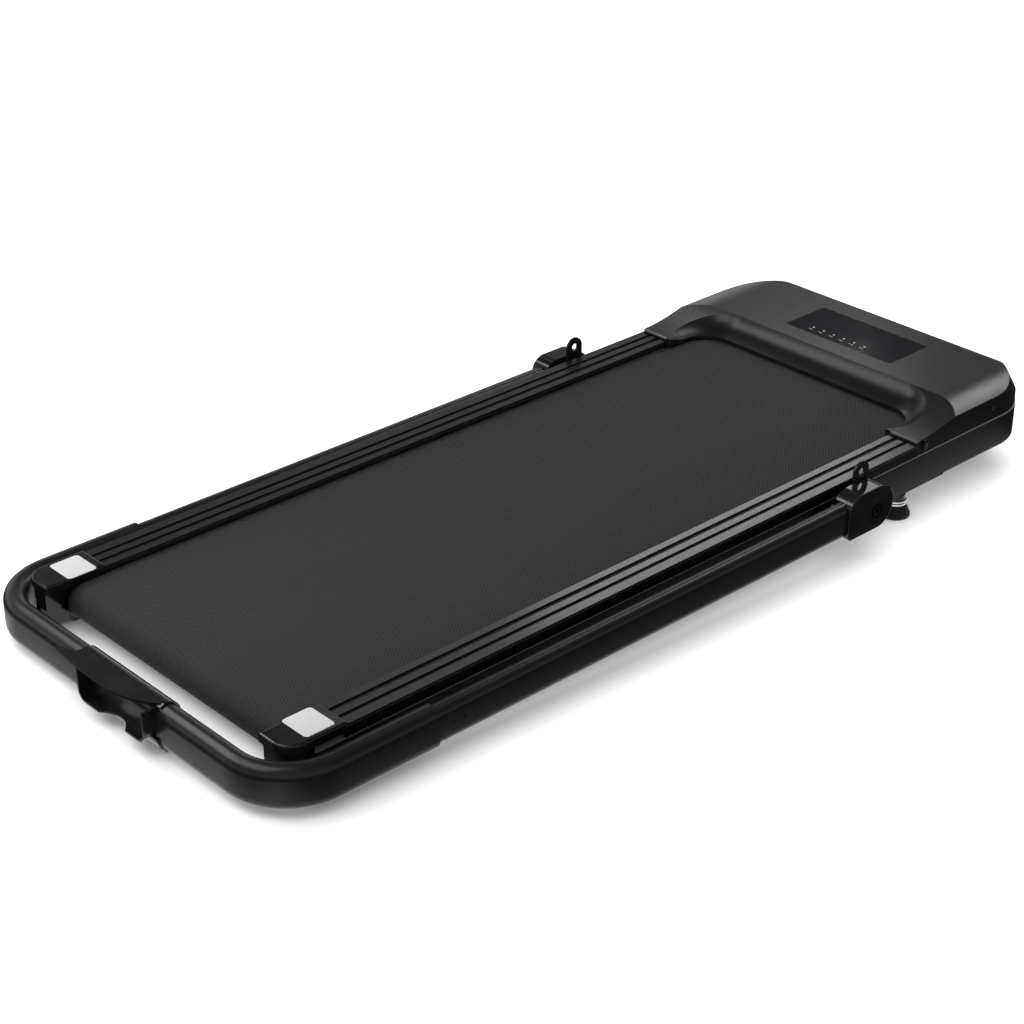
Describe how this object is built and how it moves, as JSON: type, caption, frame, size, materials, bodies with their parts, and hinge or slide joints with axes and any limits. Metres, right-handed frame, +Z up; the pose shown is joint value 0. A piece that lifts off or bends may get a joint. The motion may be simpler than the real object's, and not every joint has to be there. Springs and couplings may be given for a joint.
{
  "type": "walking pad treadmill",
  "caption": "Low walking treadmill with a motor hood, woven belt between foot rails, and a U-shaped handrail that folds flat round the deck.",
  "frame": {"origin": "on the floor, under the middle of the folded pad's box", "axes": "+Y towards the motor hood, +X to the walker's right, +Z up"},
  "size_m": [0.6149, 1.4524, 0.1382],
  "materials": {
    "powder_steel": "satin black powder coat",
    "zinc_steel": "turned",
    "black_bolt": "black oxide",
    "foot_chrome": "bright plated",
    "satin_abs": "fine grained black",
    "gloss_abs": "glossy black",
    "rail_plastic": "satin black",
    "console_gloss": "smoked gloss",
    "belt_weave": "fine ribbed matt black",
    "soft_rubber": "matt",
    "deck_board": "fibreboard",
    "circuit": "solder mask",
    "bare_aluminium": "extruded",
    "pin_brass": "plated",
    "rocker_plastic": "gloss",
    "button_plastic": "gloss red"
  },
  "bodies": {
    "frame": {"bottom_pan": "satin_abs", "breaker_body": "satin_abs", "console_lens": "console_gloss", "controller_board": "circuit", "cross_members": "powder_steel", "deck_cushions": "soft_rubber", "display_board": "circuit", "drive_bearings": "zinc_steel", "drive_belt": "soft_rubber", "foot_nuts": "zinc_steel", "heat_sink": "bare_aluminium", "hinge_bracket_left": "powder_steel", "hinge_bracket_right": "powder_steel", "hood_cover": "satin_abs", "inlet_pins": "pin_brass", "motor_body": "powder_steel", "motor_saddle": "powder_steel", "motor_tray": "powder_steel", "pivot_bolts": "black_bolt", "pivot_washers": "satin_abs", "power_inlet": "satin_abs", "rear_cap_left": "gloss_abs", "rear_cap_right": "gloss_abs", "rear_pads": "soft_rubber", "rear_roller_shaft": "zinc_steel", "running_deck": "deck_board", "side_beam_left": "powder_steel", "side_beam_right": "powder_steel", "side_rail_left": "rail_plastic", "side_rail_right": "rail_plastic", "switch_housing": "satin_abs", "tension_bolts": "zinc_steel", "walking_belt": "belt_weave", "wheel_axles": "zinc_steel", "wheel_brackets": "powder_steel"},
    "handrail": {"handrail_leg_right": "powder_steel", "handrail_leg_left": "powder_steel", "handrail_u_tube": "powder_steel", "leg_joint_bolts": "black_bolt", "leg_bushes": "zinc_steel", "hinge_cover_right": "gloss_abs", "hinge_cover_left": "gloss_abs", "tablet_holder": "gloss_abs"},
    "drive_roller": {"drive_roller_drum": "zinc_steel", "drive_roller_shaft": "zinc_steel", "drive_pulley": "satin_abs"},
    "rear_roller": {"rear_roller_drum": "zinc_steel", "rear_roller_bearings": "zinc_steel"},
    "motor_rotor": {"motor_shaft": "zinc_steel", "motor_pulley": "satin_abs", "motor_fan": "satin_abs"},
    "wheel_right": {"transport_wheel_right": "satin_abs"},
    "wheel_left": {"transport_wheel_left": "satin_abs"},
    "foot_right": {"foot_pad_right": "soft_rubber", "foot_stud_right": "foot_chrome"},
    "foot_left": {"foot_pad_left": "soft_rubber", "foot_stud_left": "foot_chrome"},
    "rocker": {"power_rocker": "rocker_plastic"},
    "reset": {"reset_button": "button_plastic"}
  },
  "joints": [
    {"name": "handrail_fold", "type": "hinge", "parent": "frame", "child": "handrail", "pos_m": [0, 0.301, 0.06669], "axis": [-1, 0, 0], "range_deg": [0, 90]},
    {"name": "drive_roller_spin", "type": "hinge", "parent": "frame", "child": "drive_roller", "pos_m": [0, 0.55388, 0.07448], "axis": [1, 0, 0], "continuous": true},
    {"name": "rear_roller_spin", "type": "hinge", "parent": "frame", "child": "rear_roller", "pos_m": [0, -0.6036, 0.03972], "axis": [1, 0, 0], "continuous": true},
    {"name": "motor_spin", "type": "hinge", "parent": "frame", "child": "motor_rotor", "pos_m": [-0.205, 0.64846, 0.08972], "axis": [1, 0, 0], "continuous": true},
    {"name": "wheel_right_spin", "type": "hinge", "parent": "frame", "child": "wheel_right", "pos_m": [0.175, 0.6404, 0.02495], "axis": [1, 0, 0], "continuous": true},
    {"name": "wheel_left_spin", "type": "hinge", "parent": "frame", "child": "wheel_left", "pos_m": [-0.175, 0.6404, 0.02495], "axis": [1, 0, 0], "continuous": true},
    {"name": "foot_right_turn", "type": "hinge", "parent": "frame", "child": "foot_right", "pos_m": [0.249, 0.41893, 0], "axis": [0, 0, 1], "continuous": true},
    {"name": "foot_left_turn", "type": "hinge", "parent": "frame", "child": "foot_left", "pos_m": [-0.249, 0.41893, 0], "axis": [0, 0, 1], "continuous": true},
    {"name": "power_rocker_tilt", "type": "hinge", "parent": "frame", "child": "rocker", "pos_m": [0, 0.71606, 0.07075], "axis": [1, 0, 0], "range_deg": [0, 14]},
    {"name": "reset_press", "type": "slide", "parent": "frame", "child": "reset", "axis": [0, -0.9995, -0.03], "range_m": [0, 0.0025], "stiffness_N_per_m": 400}
  ],
  "couplings": [
    {"joint": "rear_roller_spin", "follows": "drive_roller_spin", "ratio": 1},
    {"joint": "motor_spin", "follows": "drive_roller_spin", "ratio": 1.9286}
  ]
}
